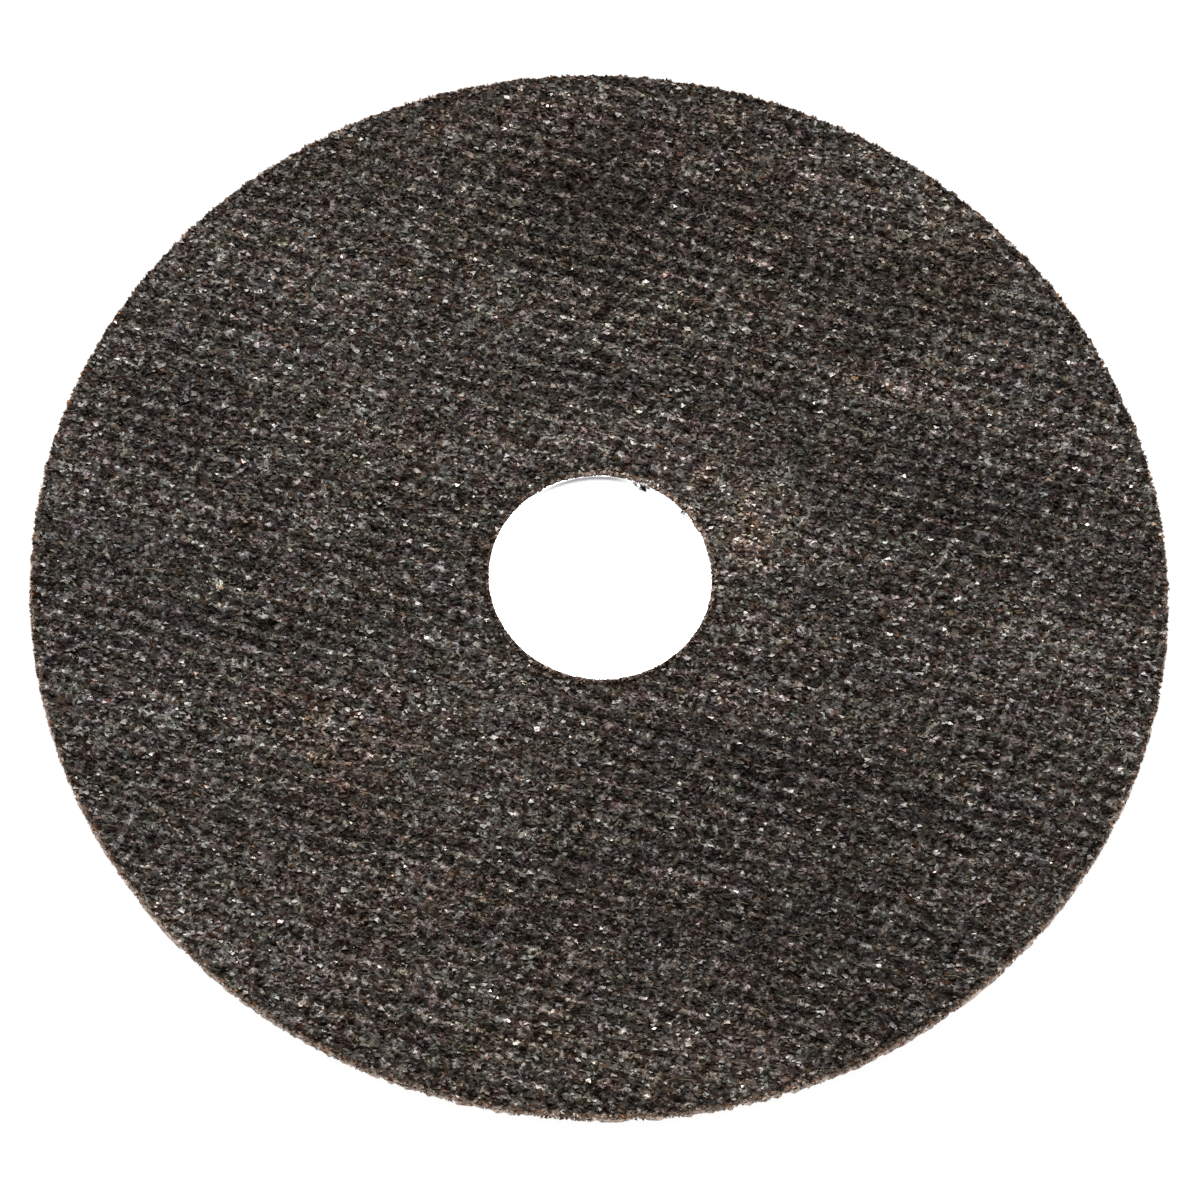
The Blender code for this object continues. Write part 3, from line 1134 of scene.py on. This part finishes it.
flake_chance = np.random.default_rng(FLAKE_SEED)
flakes = []
for middle, spread, count in FLAKE_PLACES:
    for index in range(count):
        turn = middle + spread * flake_chance.uniform(-1, 1)
        radius = BORE_RADIUS + FLAKE_SIZE * flake_chance.uniform(*FLAKE_REACH)
        deselect_all()
        bpy.ops.mesh.primitive_grid_add(
            x_subdivisions=FLAKE_CELLS, y_subdivisions=FLAKE_CELLS,
            size=FLAKE_SIZE * flake_chance.uniform(*FLAKE_SCALES),
            location=(radius * math.cos(turn), radius * math.sin(turn), 0),
            rotation=(*flake_chance.uniform(-FLAKE_TILT, FLAKE_TILT, 2), flake_chance.uniform(0, math.tau)),
        )
        flake = bpy.context.object
        crumple(FLAKE_CRUMPLE, index + 1)
        thick = flake.modifiers.new("thickness", "SOLIDIFY")
        thick.thickness = FLAKE_WALL
        apply_all(flake)
        flake.location.z = FACE_HEIGHT - max(vertex.co.z for vertex in flake.data.vertices)
        apply_all(flake)
        flakes.append(flake)
deselect_all()
for flake in flakes:
    flake.select_set(True)
bpy.context.view_layer.objects.active = flakes[0]
bpy.ops.object.join()
torn_tin = flakes[0]
torn_tin.name = "torn_tin"
torn_tin.data.name = "torn_tin"
apply_all(torn_tin)
torn_tin.data.materials.append(tin_material("torn_tinned_steel", sooty=1))
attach(torn_tin, "root")

# The floor, the lamps and the camera. The wheel lies on a white floor, lit by a large softbox and a small key
# lamp behind it and by a soft sky. The camera looks down at the photograph's angle, from above the front.

FOCAL_PIXELS = 6149.8
PICTURE_PIXELS = 1200
CAMERA_RISE = math.radians(66.30)
CAMERA_ROLL = math.radians(4.449)
CAMERA_DISTANCE = 0.6203
CAMERA_AIM = Vector((0.000119, -0.001949, 0))
SENSOR_WIDTH = 36
CLIP_START = 0.01
FLOOR_SIZE = 6
FLOOR_GLOW = 0.96
PAINT_LIT = (0.8, 0.8, 0.8, 1)
PAINT_SEEN = (0.12, 0.115, 0.11, 1)
SKY_LEAN = 0.6
SKY_SLOPES = (-0.6, 1.0)
SKY_LEVELS = (0.06, 0.6)

deselect_all()
bpy.ops.mesh.primitive_plane_add(size=FLOOR_SIZE)
floor = bpy.context.object
floor.name = "floor"


def floor_material():
    """Glows white for the camera and in reflections, and is plain pale paint for all other light."""
    material = bpy.data.materials.new("white_floor")
    material.use_nodes = True
    tree = material.node_tree
    tree.nodes.clear()
    path = tree.nodes.new("ShaderNodeLightPath")
    seen = calculate(tree, "MAXIMUM", path.outputs["Is Camera Ray"], path.outputs["Is Glossy Ray"])
    paint = blend_colours(tree, path.outputs["Is Camera Ray"], PAINT_LIT, PAINT_SEEN)
    matt = new_node(tree, "ShaderNodeBsdfDiffuse", Color=paint)
    strength = calculate(tree, "MULTIPLY", seen, FLOOR_GLOW)
    glow = new_node(tree, "ShaderNodeEmission", Strength=strength)
    both = tree.nodes.new("ShaderNodeAddShader")
    tree.links.new(matt.outputs[0], both.inputs[0])
    tree.links.new(glow.outputs[0], both.inputs[1])
    output = tree.nodes.new("ShaderNodeOutputMaterial")
    tree.links.new(both.outputs[0], output.inputs["Surface"])
    return material


floor.data.materials.append(floor_material())

world = bpy.data.worlds.new("studio")
bpy.context.scene.world = world
world.use_nodes = True
sky = world.node_tree
sky.nodes.clear()
sky_rays = sky.nodes.new("ShaderNodeLightPath").outputs
sky_seen = calculate(sky, "MAXIMUM", sky_rays["Is Camera Ray"], sky_rays["Is Transmission Ray"])
sky_place = sky.nodes.new("ShaderNodeTexCoord").outputs["Generated"]
sky_parts = new_node(sky, "ShaderNodeSeparateXYZ", Vector=sky_place)
sky_slope = calculate(sky, "MULTIPLY_ADD", sky_parts.outputs[2], SKY_LEAN, sky_parts.outputs[1])
sky_level = new_node(sky, "ShaderNodeMapRange", Value=sky_slope)
for end, slope, level in zip(("Min", "Max"), SKY_SLOPES, SKY_LEVELS):
    feed(sky, sky_level.inputs["From " + end], slope)
    feed(sky, sky_level.inputs["To " + end], level)
sky_strength = calculate(sky, "MAXIMUM", sky_level.outputs[0], sky_seen)
sky_light = new_node(sky, "ShaderNodeBackground", Color=(1, 1, 1, 1), Strength=sky_strength)
sky.links.new(sky_light.outputs[0], sky.nodes.new("ShaderNodeOutputWorld").inputs["Surface"])


def soft_lamp(name, place, size, power):
    """A square lamp that faces the wheel."""
    deselect_all()
    bpy.ops.object.light_add(type="AREA", location=place)
    lamp = bpy.context.object
    lamp.name = name
    lamp.data.size = size
    lamp.data.energy = power
    lamp.rotation_euler = Vector(place).to_track_quat("Z", "Y").to_euler()


soft_lamp("softbox", place=(-0.20, 0.60, 0.70), size=0.80, power=5.0)
soft_lamp("key", place=(-0.10, 0.50, 0.75), size=0.22, power=2.4)

deselect_all()
bpy.ops.object.camera_add()
camera = bpy.context.object
camera.data.sensor_width = SENSOR_WIDTH
camera.data.lens = FOCAL_PIXELS / PICTURE_PIXELS * SENSOR_WIDTH
camera.data.clip_start = CLIP_START
camera.matrix_world = (
    Matrix.Translation(CAMERA_AIM)
    @ Matrix.Rotation(math.pi / 2 - CAMERA_RISE, 4, "X")
    @ Matrix.Rotation(CAMERA_ROLL, 4, "Z")
    @ Matrix.Translation((0, 0, CAMERA_DISTANCE))
)
bpy.context.scene.camera = camera
bpy.context.scene.view_settings.view_transform = "Standard"
